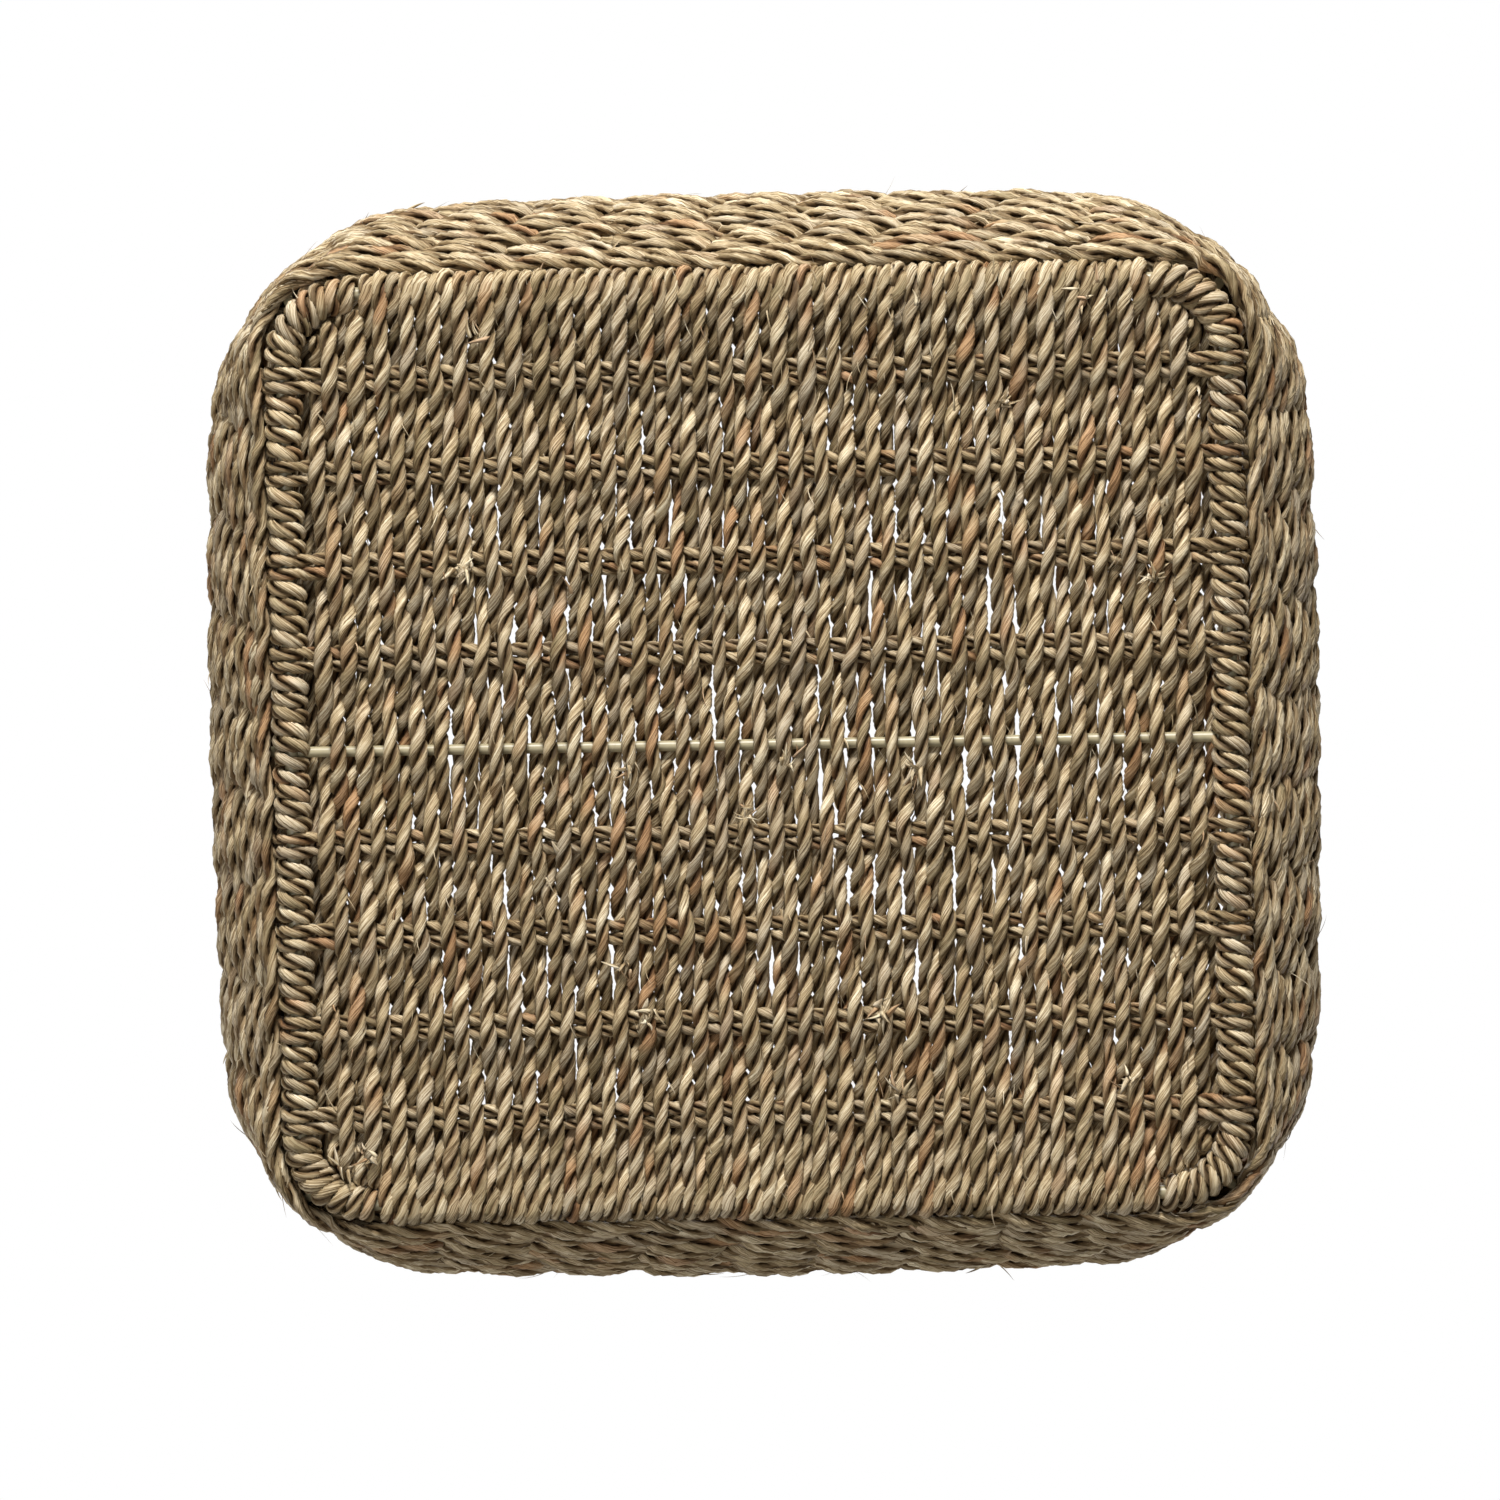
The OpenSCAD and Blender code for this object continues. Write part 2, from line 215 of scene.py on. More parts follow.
def fan(side, z, a):
    """Angle of the outward normal at a distance along a side, in radians."""
    flat = half_along(side, z) - corner_at(z)
    return np.sign(a) * np.arcsin(np.clip((np.abs(a) - flat) / corner_at(z), 0, 1))


def bow_along(side, z, a):
    """Bow of the wall at a distance along a side."""
    reach = half_along(side, z) - BOW_STOP * corner_at(z)
    return bow_at(z) * np.maximum(0, 1 - (a / reach) ** 2)


def wall(z, place):
    """Middle surface of the wall: points and outward normals. A whole-numbered place is a stake."""
    place = np.asarray(place, float) % BASKET_UNITS
    points = np.zeros((len(place), 2))
    normals = np.zeros((len(place), 2))
    r = corner_at(z)
    last = SIDE_STAKES * STAKE_PITCH
    for side in range(4):
        u = place - side * SIDE_UNITS
        here = (u >= 0) & (u < SIDE_UNITS)
        u = u[here]
        out, along = half_out(side, z), half_along(side, z)
        a = np.clip((u - SIDE_STAKES) * STAKE_PITCH, -last, last)
        b = fan(side, z, a)
        x = out - r * (1 - np.cos(b)) + bow_along(side, z, a)
        first, second = fan(side, z, last), math.pi / 2 - fan(side + 1, z, last)
        t1 = np.clip(u - 2 * SIDE_STAKES, 0, 1)
        t2 = np.clip(u - 2 * SIDE_STAKES - 1, 0, 1)
        g = first + (math.pi / 4 - first) * t1 + (second - math.pi / 4) * t2
        corner = u > 2 * SIDE_STAKES
        fade = bow_along(side, z, last) * (1 - t1) + bow_along(side + 1, z, last) * t2
        x = np.where(corner, out - r + (r + fade) * np.cos(g), x)
        y = np.where(corner, along - r + (r + fade) * np.sin(g), a)
        b = np.where(corner, g, b)
        c, s = round(math.cos(math.pi / 2 * side)), round(math.sin(math.pi / 2 * side))
        points[here] = np.column_stack([x * c - y * s, x * s + y * c])
        normals[here] = np.column_stack([np.cos(b) * c - np.sin(b) * s, np.cos(b) * s + np.sin(b) * c])
    return points, normals


# ---- Twisted cord ----

FLATTEN = 0.0012  # below this height grass is pressed flat, because the basket stands on it
PLY_OUT = 0.49  # how far a ply's middle is from the cord's, as a share of the cord's half width
PLY_DEEP = 0.52  # half thickness of a ply, outwards
PLY_WIDE = 0.76  # half width of a ply, across
MAP_SCALE = 100  # a ply's own map is in centimetres
PLY_GIRTH = 1.1  # and is this wide round the ply
END_TAPER = 0.6  # a cut cord thins over this share of its width
END_SIZE = 0.35  # down to this share of it
PITCH_SPREAD = (0.93, 1.07)

# How uneven a cord is: how far a value moves, and the distance from one value to the next
TWIST_DRIFT = (0.8, 0.040)  # turn of the two plies, in radians
CORD_DRIFT = (0.07, 0.05)  # share of the cord's width
PLY_DRIFT = (0.17, 0.014)  # share of a ply's width
FOLD_DRIFT = (0.4, 0.02)  # depth of the folds that run along a ply
SHADE_DRIFT = (0.20, 0.024)  # from dark to pale
LEAF_SHORT = (1.0, 0.019)  # where a reddish leaf shows
LEAF_LONG = (0.5, 0.11)
GREY_DRIFT = (0.5, 0.035)  # how weathered the grass is
FOLDS, FOLD_DEEP = 3, 0.08
RED_FROM, RED_RISE = 0.55, 1.9

WISP_SINK = 0.0004  # how deep in the cord a loose fibre starts
WISP_TAPER = (1, 1, 0.8, 0.5, 0.1)
WISP_FLAT = 0.35  # its thickness, as a share of its width
TUFT_FIBRES = 9
TUFT_SPREAD = 0.0015
TUFT_LENGTHS = (0.004, 0.008)
TUFT_WIDTHS = (0.0012, 0.0030)


class Weave:
    """Gathers cords into one mesh, with a map along each ply and an attribute for its colour and for the
    painted shade in the crease between its plies.
    """

    def __init__(self, seed):
        self.rng = np.random.default_rng(seed)
        self.verts = []
        self.quads = []
        self.caps = []
        self.quad_maps = []
        self.cap_maps = []
        self.looks = []
        self.anchors = []
        self.count = 0

    def tube(self, rings, u, girth, looks, closed=False, crease_shade=None):
        """Adds a tube through rings of points, an array of rings by sides by 3."""
        n, sides = rings.shape[:2]
        i = np.arange(n if closed else n - 1)[:, None]
        j = np.arange(sides)[None, :]
        k = (j + 1) % sides
        m = (i + 1) % n
        at = self.count
        quads = np.stack(
            [at + i * sides + j, at + i * sides + k, at + m * sides + k, at + m * sides + j], -1)
        u = np.append(u, 2 * u[-1] - u[-2])
        shape = (len(i), sides)
        u0, u1 = (np.broadcast_to(u[k0: k0 + len(i), None], shape) for k0 in (0, 1))
        v0, v1 = (np.broadcast_to((j + k0) / sides, shape) * girth for k0 in (0, 1))
        maps = np.stack([np.stack(corner, -1) for corner in ((u0, v0), (u0, v1), (u1, v1), (u1, v0))], 2)
        self.verts.append(rings.reshape(-1, 3))
        self.quads.append(quads.reshape(-1, 4))
        self.quad_maps.append(maps.reshape(-1, 2))
        # The fourth value of the looks is painted shade, darkest in the crease between the plies
        painted_crease_shade = np.tile(np.ones(sides) if crease_shade is None else crease_shade, n)
        self.looks.append(np.column_stack([np.repeat(looks, sides, axis=0), painted_crease_shade]))
        if not closed:
            order = np.arange(sides)
            self.caps += [at + order[::-1], at + (n - 1) * sides + order]
            self.cap_maps += [np.column_stack([np.full(sides, u[0]), order / sides * girth])] * 2
        self.count += n * sides

    def cord(self, path, up, width, pitch, step, sides=7, closed=False, squash=(1.0, 1.0), girth=None):
        """Adds a two-ply cord with a right-handed twist along the path. up points out of the weaving."""
        rng = self.rng
        if closed:
            path, up = np.vstack([path, path[:1]]), np.vstack([up, up[:1]])
        girth = np.ones(len(path)) if girth is None else girth
        path, up, girth = even(path, step, up, girth[:, None])
        along = distances(path)
        total = along[-1]
        if closed:
            path, up, along, girth = path[:-1], up[:-1], along[:-1], girth[:-1]
            ahead = np.roll(path, -1, 0) - np.roll(path, 1, 0)
        else:
            ahead = np.gradient(path, axis=0)
        ahead = unit(ahead)
        side = unit(np.cross(up, ahead))
        up = np.cross(ahead, side)
        turns = total / (pitch * rng.uniform(*PITCH_SPREAD))
        if closed:
            turns = max(1, round(turns))
        uneven = drift(rng, total, along, TWIST_DRIFT)
        if closed:
            uneven = uneven * np.sin(math.pi * along / total)
        spin = 2 * math.pi * turns * along / total + rng.uniform(0, 2 * math.pi) + uneven
        beta = math.pi + 2 * math.pi * np.arange(sides) / sides
        thick = width / 2 * (1 + drift(rng, total, along, CORD_DRIFT)) * girth[:, 0]
        # Painted shade: the crease is the side of a ply that faces the other one, and it is painted darker
        # there, where the plies shade each other
        crease_shade = np.clip(0.5 + 0.9 * np.cos(beta), 0, 1)
        hue = rng.uniform()
        for ply in range(2):
            size = thick * (1 + drift(rng, total, along, PLY_DRIFT))
            if not closed:
                to_end = np.minimum(along, total - along)
                size = size * np.clip(to_end / (END_TAPER * width) + END_SIZE, END_SIZE, 1)
            fold = rng.uniform(0, 2 * math.pi)
            folded = 0.6 + drift(rng, total, along, FOLD_DRIFT)
            lobe = 1 + FOLD_DEEP * np.cos(FOLDS * beta + fold)[None, :] * folded[:, None]
            out = size[:, None] * (PLY_OUT + PLY_DEEP * np.cos(beta)[None, :] * lobe)
            across = size[:, None] * PLY_WIDE * np.sin(beta)[None, :] * lobe
            a = (spin + math.pi * ply)[:, None]
            x = (out * np.cos(a) - across * np.sin(a)) * squash[0]
            y = (out * np.sin(a) + across * np.cos(a)) * squash[1]
            rings = path[:, None, :] + side[:, None, :] * x[..., None] + up[:, None, :] * y[..., None]
            shade = 0.5 + 0.10 * rng.normal() + drift(rng, total, along, SHADE_DRIFT)
            leaf = drift(rng, total, along, LEAF_SHORT) + drift(rng, total, along, LEAF_LONG)
            red = np.clip((leaf - RED_FROM) * RED_RISE, 0, 1)
            grey = 0.5 + drift(rng, total, along, GREY_DRIFT) + 0.3 * (hue - 0.5)
            looks = np.column_stack([np.clip(shade, 0, 1), red, np.clip(grey, 0, 1)])
            self.tube(rings, along * MAP_SCALE + rng.uniform(0, 50), PLY_GIRTH, looks, closed, crease_shade)
            self.anchors.append((rings[:, sides // 2], unit(rings[:, sides // 2] - path), ahead))

    def wisp(self, root, out, ahead, length, width):
        """Adds one loose fibre or leaf tip that stands a little off the cord."""
        rng = self.rng
        t = np.linspace(0, 1, 5)[:, None]
        lift = rng.uniform(0.15, 0.75)
        sway = np.cross(out, ahead) * rng.uniform(-0.5, 0.5)
        rise = out * lift * t * (1.2 - 0.5 * t)
        line = root - out * WISP_SINK + length * (ahead * t + rise + sway * t**2)
        across = unit(np.cross(ahead, out) + 0.4 * rng.normal(size=3))
        girth = width / 2 * np.array(WISP_TAPER)[:, None]
        flat = out * WISP_FLAT
        # The sections are parallel, so this has the sign of the fibre's volume
        bulk = girth[:-1] ** 2 + girth[:-1] * girth[1:] + girth[1:] ** 2
        if np.sum(bulk * np.diff(line, axis=0), axis=0) @ np.cross(across, flat) > 0:
            across = -across
        rings = np.stack([line + across * girth, line + flat * girth,
                          line - across * girth, line - flat * girth], 1)
        looks = np.tile([rng.uniform(0.45, 1.0), 0.8 * float(rng.uniform() < 0.2), rng.uniform()], (5, 1))
        self.tube(rings[:, ::-1], t[:, 0] * length * MAP_SCALE + rng.uniform(0, 50), 0.2, looks)

    def spot(self):
        """A random place on the cords that are already there: its point, way out and way along."""
        points, outs, aheads = self.anchors[self.rng.integers(len(self.anchors))]
        k = self.rng.integers(2, len(points) - 2)
        return points[k], outs[k], aheads[k]

    def fray(self, count, longest, widest, keep=None):
        """Adds loose fibres at random places."""
        for _ in range(count):
            point, out, ahead = self.spot()
            if keep is not None and not keep(point, out):
                continue
            turn = self.rng.choice([-1, 1])
            length = longest * self.rng.uniform(0.35, 1.0) ** 1.3
            self.wisp(point, out, ahead * turn, length, widest * self.rng.uniform(0.3, 1))

    def tufts(self, count, keep):
        """Adds small knots of leaf ends, where a new length of grass was spliced in."""
        while count:
            point, out, ahead = self.spot()
            if not keep(point, out):
                continue
            count -= 1
            for _ in range(TUFT_FIBRES):
                turn = unit(ahead * self.rng.choice([-1, 1]) + 0.8 * self.rng.normal(size=3))
                root = point + TUFT_SPREAD * self.rng.normal(size=3)
                length, width = self.rng.uniform(*TUFT_LENGTHS), self.rng.uniform(*TUFT_WIDTHS)
                self.wisp(root, out, turn, length, width)

    def piece(self, name, nodes, slot):
        """Makes the object, rides it on the basket and lets it stand for its CAD nodes."""
        quads = np.vstack(self.quads)
        verts = np.vstack(self.verts)
        low = verts[:, 2] < FLATTEN
        lowest, room = FLATTEN / 3, 2 * FLATTEN / 3
        verts[low, 2] = lowest + room * np.exp((verts[low, 2] - FLATTEN) / room)
        caps = self.caps
        loops = np.concatenate([quads.ravel()] + caps)
        sizes = np.concatenate([np.full(len(quads), 4), [len(c) for c in caps]]).astype(np.int32)
        maps = np.vstack(self.quad_maps + self.cap_maps)
        mesh = bpy.data.meshes.new(name)
        mesh.vertices.add(len(verts))
        mesh.vertices.foreach_set("co", verts.astype(np.float32).ravel())
        mesh.loops.add(len(loops))
        mesh.loops.foreach_set("vertex_index", loops.astype(np.int32))
        mesh.polygons.add(len(sizes))
        starts = np.concatenate([[0], np.cumsum(sizes)[:-1]])
        mesh.polygons.foreach_set("loop_start", starts.astype(np.int32))
        mesh.polygons.foreach_set("loop_total", sizes)
        mesh.update(calc_edges=True)
        mesh.validate()
        layer = mesh.uv_layers.new(name="ply")
        layer.data.foreach_set("uv", maps.astype(np.float32).ravel())
        grass = mesh.color_attributes.new("grass", "FLOAT_COLOR", "POINT")
        grass.data.foreach_set("color", np.vstack(self.looks).astype(np.float32).ravel())
        mesh.polygons.foreach_set("use_smooth", np.ones(len(sizes), bool))
        obj = bpy.data.objects.new(name, mesh)
        bpy.context.scene.collection.objects.link(obj)
        mesh.materials.append(finish_of(slot))
        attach(obj, "root")
        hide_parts(*nodes)


# ---- Finishes ----

GRASSES = ("Straw", "Pale", "Olive", "Russet", "Grey")
# Painted shade and light for each piece, a factor on its colour: the stakes are painted darker as shade,
# the wrapping a little lighter as light
PAINTED_SHADE_BY_SLOT = {"seagrass_base": 1.0, "seagrass_stake": 0.80, "seagrass_wrapping": 1.04, "seagrass_wall": 1.0}
RIB_BUMP = 0.0006
MIDDLE = (0.3, 0.7)  # range that holds nearly all of a noise's values


def link(tree, a, b):
    tree.links.new(a, b)


def new_node(tree, kind, place, **values):
    """Adds a node at a place in the editor and sets its values."""
    made = tree.nodes.new(kind)
    made.location = place
    for key, value in values.items():
        setattr(made, key, value)
    return made


def feed(tree, socket, value):
    """Sets a socket to a plain number, or links it to the output that gives its value."""
    if isinstance(value, float):
        socket.default_value = value
    else:
        link(tree, value, socket)


def noise_at(tree, source, detail, place, stretch):
    """Noise over a map that is stretched along the leaf; gives its value."""
    mapped = new_node(tree, "ShaderNodeMapping", place)
    mapped.inputs["Scale"].default_value = (*stretch, 1.0)
    link(tree, source, mapped.inputs[0])
    noise = new_node(tree, "ShaderNodeTexNoise", (place[0] + 200, place[1]))
    noise.inputs["Scale"].default_value = 1.0
    noise.inputs["Detail"].default_value = detail
    noise.inputs["Roughness"].default_value = 0.6
    link(tree, mapped.outputs[0], noise.inputs["Vector"])
    return noise.outputs["Fac"]


def ranged(tree, value, from_range, to_range, place):
    """The value moved from one range to another, and held inside it."""
    made = new_node(tree, "ShaderNodeMapRange", place)
    made.inputs["From Min"].default_value, made.inputs["From Max"].default_value = from_range
    made.inputs["To Min"].default_value, made.inputs["To Max"].default_value = to_range
    link(tree, value, made.inputs["Value"])
    return made.outputs[0]


def sum_of(tree, a, b, place, operation="ADD", clamp=False):
    """Two values added, or joined by another operation."""
    made = new_node(tree, "ShaderNodeMath", place, operation=operation, use_clamp=clamp)
    feed(tree, made.inputs[0], a)
    feed(tree, made.inputs[1], b)
    return made.outputs[0]


def blended(tree, factor, a, b, place, blend_type="MIX"):
    """Two colours mixed by a factor."""
    made = new_node(tree, "ShaderNodeMix", place, data_type="RGBA", blend_type=blend_type)
    feed(tree, made.inputs["Factor"], factor)
    link(tree, a, made.inputs[6])
    link(tree, b, made.inputs[7])
    return made.outputs[2]


def shaders_mixed(tree, factor, a, b, place):
    """Two shaders mixed by a factor."""
    made = new_node(tree, "ShaderNodeMixShader", place)
    for socket, value in zip(made.inputs, (factor, a, b)):
        link(tree, value, socket)
    return made.outputs[0]


def bumped(tree, height, strength, distance, place):
    """The normal of a surface that a height makes uneven."""
    made = new_node(tree, "ShaderNodeBump", place)
    made.inputs["Strength"].default_value = strength
    made.inputs["Distance"].default_value = distance
    link(tree, height, made.inputs["Height"])
    return made.outputs[0]


def new_material(name):
    """A material with nodes, its tree and its surface."""
    made = bpy.data.materials.new(name)
    made.use_nodes = True
    return made, made.node_tree, made.node_tree.nodes["Principled BSDF"]


def grass_group():
    """Node group for dried grass: its colour, with painted shade in the crease between the plies and by
    each piece's factor, its roughness and ribs, from the ply's own map.
    """
    found = bpy.data.node_groups.get("Dried grass")
    if found:
        return found
    tree = bpy.data.node_groups.new("Dried grass", "ShaderNodeTree")
    face = tree.interface
    for name in GRASSES:
        face.new_socket(name, in_out="INPUT", socket_type="NodeSocketColor")
    # Shade is the piece's factor of painted shade and light on the colour
    face.new_socket("Shade", in_out="INPUT", socket_type="NodeSocketFloat").default_value = 1.0
    face.new_socket("Color", in_out="OUTPUT", socket_type="NodeSocketColor")
    face.new_socket("Roughness", in_out="OUTPUT", socket_type="NodeSocketFloat")
    face.new_socket("Height", in_out="OUTPUT", socket_type="NodeSocketFloat")
    given = new_node(tree, "NodeGroupInput", (-1400, 0))
    out = new_node(tree, "NodeGroupOutput", (1300, 0))
    grass = new_node(tree, "ShaderNodeAttribute", (-1400, 300), attribute_name="grass")
    parts = new_node(tree, "ShaderNodeSeparateColor", (-1200, 300))
    link(tree, grass.outputs["Color"], parts.inputs[0])
    shade, red, grey = parts.outputs
    ply = new_node(tree, "ShaderNodeUVMap", (-1400, -250), uv_map="ply").outputs[0]
    # The map is in centimetres. Ribs and veins run along the leaf, so those maps are stretched along it
    ribs = noise_at(tree, ply, 3.0, (-1200, -150), (0.6, 10.0))
    veins = noise_at(tree, ply, 2.0, (-1200, -450), (0.9, 21.0))
    patches = noise_at(tree, ply, 3.0, (-1200, -750), (1.1, 2.2))
    specks = noise_at(tree, ply, 2.0, (-1200, -1050), (9.0, 22.0))
    streaks = ranged(tree, ribs, MIDDLE, (-0.34, 0.34), (-700, -150))
    tone = sum_of(tree, shade, streaks, (-500, 100))
    blotches = ranged(tree, patches, MIDDLE, (-0.30, 0.30), (-700, -750))
    tone = sum_of(tree, tone, blotches, (-300, 60), clamp=True)
    colour = blended(tree, ranged(tree, tone, (0.0, 0.5), (0.0, 1.0), (-120, 200)),
                     given.outputs["Olive"], given.outputs["Straw"], (80, 200))
    bleached = ranged(tree, tone, (0.5, 1.0), (0.0, 1.0), (-120, -50))
    colour = blended(tree, bleached, colour, given.outputs["Pale"], (260, 160))
    weathered = ranged(tree, grey, (0.55, 1.0), (0.0, 0.65), (80, -100))
    colour = blended(tree, weathered, colour, given.outputs["Grey"], (440, 120))
    reddish = sum_of(tree, red, 0.75, (260, -120), "MULTIPLY")
    colour = blended(tree, reddish, colour, given.outputs["Russet"], (620, 100))
    # Dark veins and stains, painted shade in the crease where the two plies meet, and each piece's painted
    # shade and light from the Shade input
    lines = ranged(tree, veins, (0.36, 0.56), (0.22, 1.10), (260, -400))
    stains = ranged(tree, specks, (0.24, 0.40), (0.55, 1.0), (260, -650))
    dark = sum_of(tree, lines, stains, (440, -450), "MULTIPLY")
    crease_shade = ranged(tree, grass.outputs["Alpha"], (0.0, 0.9), (0.16, 1.0), (440, -250))
    dark = sum_of(tree, dark, crease_shade, (620, -350), "MULTIPLY")
    dark = sum_of(tree, dark, given.outputs["Shade"], (800, -300), "MULTIPLY")
    # What is dark, the veins and stains and the painted shade alike, is also warmer: red fades least and
    # blue most
    shadow = new_node(tree, "ShaderNodeCombineColor", (980, -200))
    link(tree, sum_of(tree, dark, 0.84, (800, -100), "POWER"), shadow.inputs[0])
    link(tree, dark, shadow.inputs[1])
    link(tree, sum_of(tree, dark, 1.25, (800, -500), "POWER"), shadow.inputs[2])
    colour = blended(tree, 1.0, colour, shadow.outputs[0], (1120, 60), "MULTIPLY")
    link(tree, colour, out.inputs["Color"])
    link(tree, ranged(tree, ribs, MIDDLE, (0.55, 0.85), (1000, -450)), out.inputs["Roughness"])
    fine = sum_of(tree, veins, 0.5, (620, -700), "MULTIPLY")
    link(tree, sum_of(tree, ribs, fine, (800, -700)), out.inputs["Height"])
    return tree


def seagrass(name, shade):
    """Dried, twisted grass in the colours set in the panel."""
    sizes = bpy.context.scene.basket_sizes
    made, tree, surface = new_material(name)
    group = new_node(tree, "ShaderNodeGroup", (-500, 0))
    group.node_tree = grass_group()
    for socket in GRASSES:
        group.inputs[socket].default_value = (*getattr(sizes, socket.lower()), 1)
    # The piece's painted shade and light, a factor on its colour
    group.inputs["Shade"].default_value = shade
    link(tree, group.outputs["Color"], surface.inputs["Base Color"])
    link(tree, group.outputs["Roughness"], surface.inputs["Roughness"])
    ribbed = bumped(tree, group.outputs["Height"], 0.75, RIB_BUMP, (-240, -260))
    link(tree, ribbed, surface.inputs["Normal"])
    surface.inputs["Specular IOR Level"].default_value = 0.32
    return made


def coated_wire():
    """Cream coating on steel wire, a little uneven."""
    made, tree, surface = new_material("coated_wire_finish")
    where = new_node(tree, "ShaderNodeTexCoord", (-900, 0))
    noise = new_node(tree, "ShaderNodeTexNoise", (-700, 0))
    noise.inputs["Scale"].default_value = 320.0
    noise.inputs["Detail"].default_value = 3.0
    link(tree, where.outputs["Object"], noise.inputs["Vector"])
    colour = new_node(tree, "ShaderNodeMix", (-440, 120), data_type="RGBA")
    wire = bpy.context.scene.basket_sizes.wire
    for socket, share in ((6, 0.80), (7, 1.12)):
        colour.inputs[socket].default_value = (*[share * c for c in wire], 1)
    link(tree, noise.outputs["Fac"], colour.inputs["Factor"])
    link(tree, colour.outputs[2], surface.inputs["Base Color"])
    rough = ranged(tree, noise.outputs["Fac"], (0.0, 1.0), (0.28, 0.48), (-440, -120))
    link(tree, rough, surface.inputs["Roughness"])
    uneven = bumped(tree, noise.outputs["Fac"], 0.25, 0.0002, (-240, -320))
    link(tree, uneven, surface.inputs["Normal"])
    return made


def finish_of(name):
    """The finish with that name, made the first time that it is asked for."""
    found = bpy.data.materials.get(f"{name}_finish")
    if found:
        return found
    if name == "coated_wire":
        return coated_wire()
    return seagrass(f"{name}_finish", PAINTED_SHADE_BY_SLOT[name])


# ---- Base ----

HOOK_R = RING_WIRE / 2 + CORD_SEAT
HOOK_ANGLES = (-112, -78, -44, -10, 24, 58, 92)
HALF_CORD = 0.0024  # half a base cord as it is in the CAD model
BAR_CORD = 0.0052  # room that a cord takes where it passes the bar
DOUBLE_RISE = 0.0046  # how far a cord rises or dips at a double
END_PAST = 0.002  # how far a cord runs in among the wrapping of a corner
END_DROP = 0.001
LEAST_END = 0.006  # shortest end past the last double
CALM_Y, CALM_X = 0.09, 0.07  # near the ring, over these distances, cords lie straighter and thicker
CALM_LEAST = 0.25
SIDE_WAVER = (0.0012, 0.019)
HIGH_WAVER = (0.0006, 0.027)
GIRTH_MOST, GIRTH_DROP = 1.13, 0.10
BASE_STEP = 0.0018  # distance between the sections of a base cord
WRAP_SEAT = 0.00495  # from the middle of the ring's wire to the middle of the cord wound on it


def base_cord_path(i, pitch, rng):
    """Path and girth of one base cord, over and under the doubles and the bar and round the ring."""
    x = i * pitch
    half = []
    for k in range(SIDE_STAKES + 1):
        over = -1 if (abs(i) + k) % 2 == 0 else 1
        rise = (BAR_WIRE + BAR_CORD) / 2 if k == 0 else DOUBLE_RISE
        half.append((k * STAKE_PITCH, WEFT_Z + over * rise))
    straight = RING_HALF[0] - BASE_CORNER_R
    if abs(x) + HALF_CORD <= straight:
        half += [(RING_HALF[1] + HOOK_R * math.cos(a), RING_Z + HOOK_R * math.sin(a))
                 for a in map(math.radians, HOOK_ANGLES)]
    else:
        dx = abs(x) + HALF_CORD - straight
        inner = BASE_CORNER_R - WRAP_R
        end = RING_HALF[1] - BASE_CORNER_R + math.sqrt(max(0.0, inner * inner - dx * dx)) + END_PAST
        if end > half[-1][0] + LEAST_END:
            half.append((end, RING_Z - END_DROP))
        else:
            half[-1] = (min(half[-1][0], end), WEFT_Z)
    both = [(-y, z) for y, z in reversed(half)] + half[1:]
    line = smooth([(x, y, z) for y, z in both])
    along = distances(line)
    inside = np.clip((RING_HALF[1] - np.abs(line[:, 1])) / CALM_Y, 0, 1)
    inside = inside * np.clip((RING_HALF[0] - abs(x)) / CALM_X, CALM_LEAST, 1)
    line[:, 0] += drift(rng, along[-1], along, SIDE_WAVER) * inside
    line[:, 2] += drift(rng, along[-1], along, HIGH_WAVER) * inside
    return line, GIRTH_MOST - GIRTH_DROP * inside


class BASKET_OT_base_cords(bpy.types.Operator):
    """Weave the cords of the base and hook them round the ring"""

    bl_idname = "basket.base_cords"
    bl_label = "Weave base cords"

    def execute(self, context):
        sizes = context.scene.basket_sizes
        reach = RING_HALF[0] - WRAP_R - CORD_SEAT
        each_way = int(reach / sizes.base_pitch)
        count = 2 * each_way + 1
        for g in range(CORD_GROUPS):
            weave = Weave(100 + g)
            first = math.ceil(g * count / CORD_GROUPS) - each_way
            last = math.ceil((g + 1) * count / CORD_GROUPS) - each_way
            for i in range(first, last):
                path, girth = base_cord_path(i, sizes.base_pitch, weave.rng)
                up = np.tile([1.0, 0.0, 0.0], (len(path), 1))
                width = sizes.base_cord * weave.rng.uniform(0.95, 1.07)
                weave.cord(path, up, width, sizes.twist_pitch, BASE_STEP, girth=girth)
            weave.fray(260, 0.010, 0.0008)
            weave.fray(50, 0.008, 0.0024, lambda p, out: out[2] < -0.2)
            weave.tufts(4, lambda p, out: out[2] < -0.6 and p[2] < 0.006)
            weave.piece(f"woven_base_{g + 1}", [f"base_cords_{g + 1}"], "seagrass_base")
        return {"FINISHED"}


# ---- Stakes ----

STAKE_TURN = 0.0049  # from the middle of the ring's wire to the middle of a stake that turns round it
TURN_ANGLES = (-140, -105, -70, -35, 0)
STAKE_FOOT = 0.016  # height where a stake enters the wall
WALL_TOP = RIM_Z - 0.0075
PAIR_SHIFT = STAKE_CORD * 0.53  # from the middle of a double to the middle of each of its cords


def stake_rise(place, shift):
    """Path of a stake up inside the wall at a place, moved sideways by shift."""
    line = []
    for z in np.linspace(STAKE_FOOT, WALL_TOP, 14):
        p, n = wall(z, [place])
        line.append((p[0, 0] - n[0, 1] * shift, p[0, 1] + n[0, 0] * shift, z))
    return line


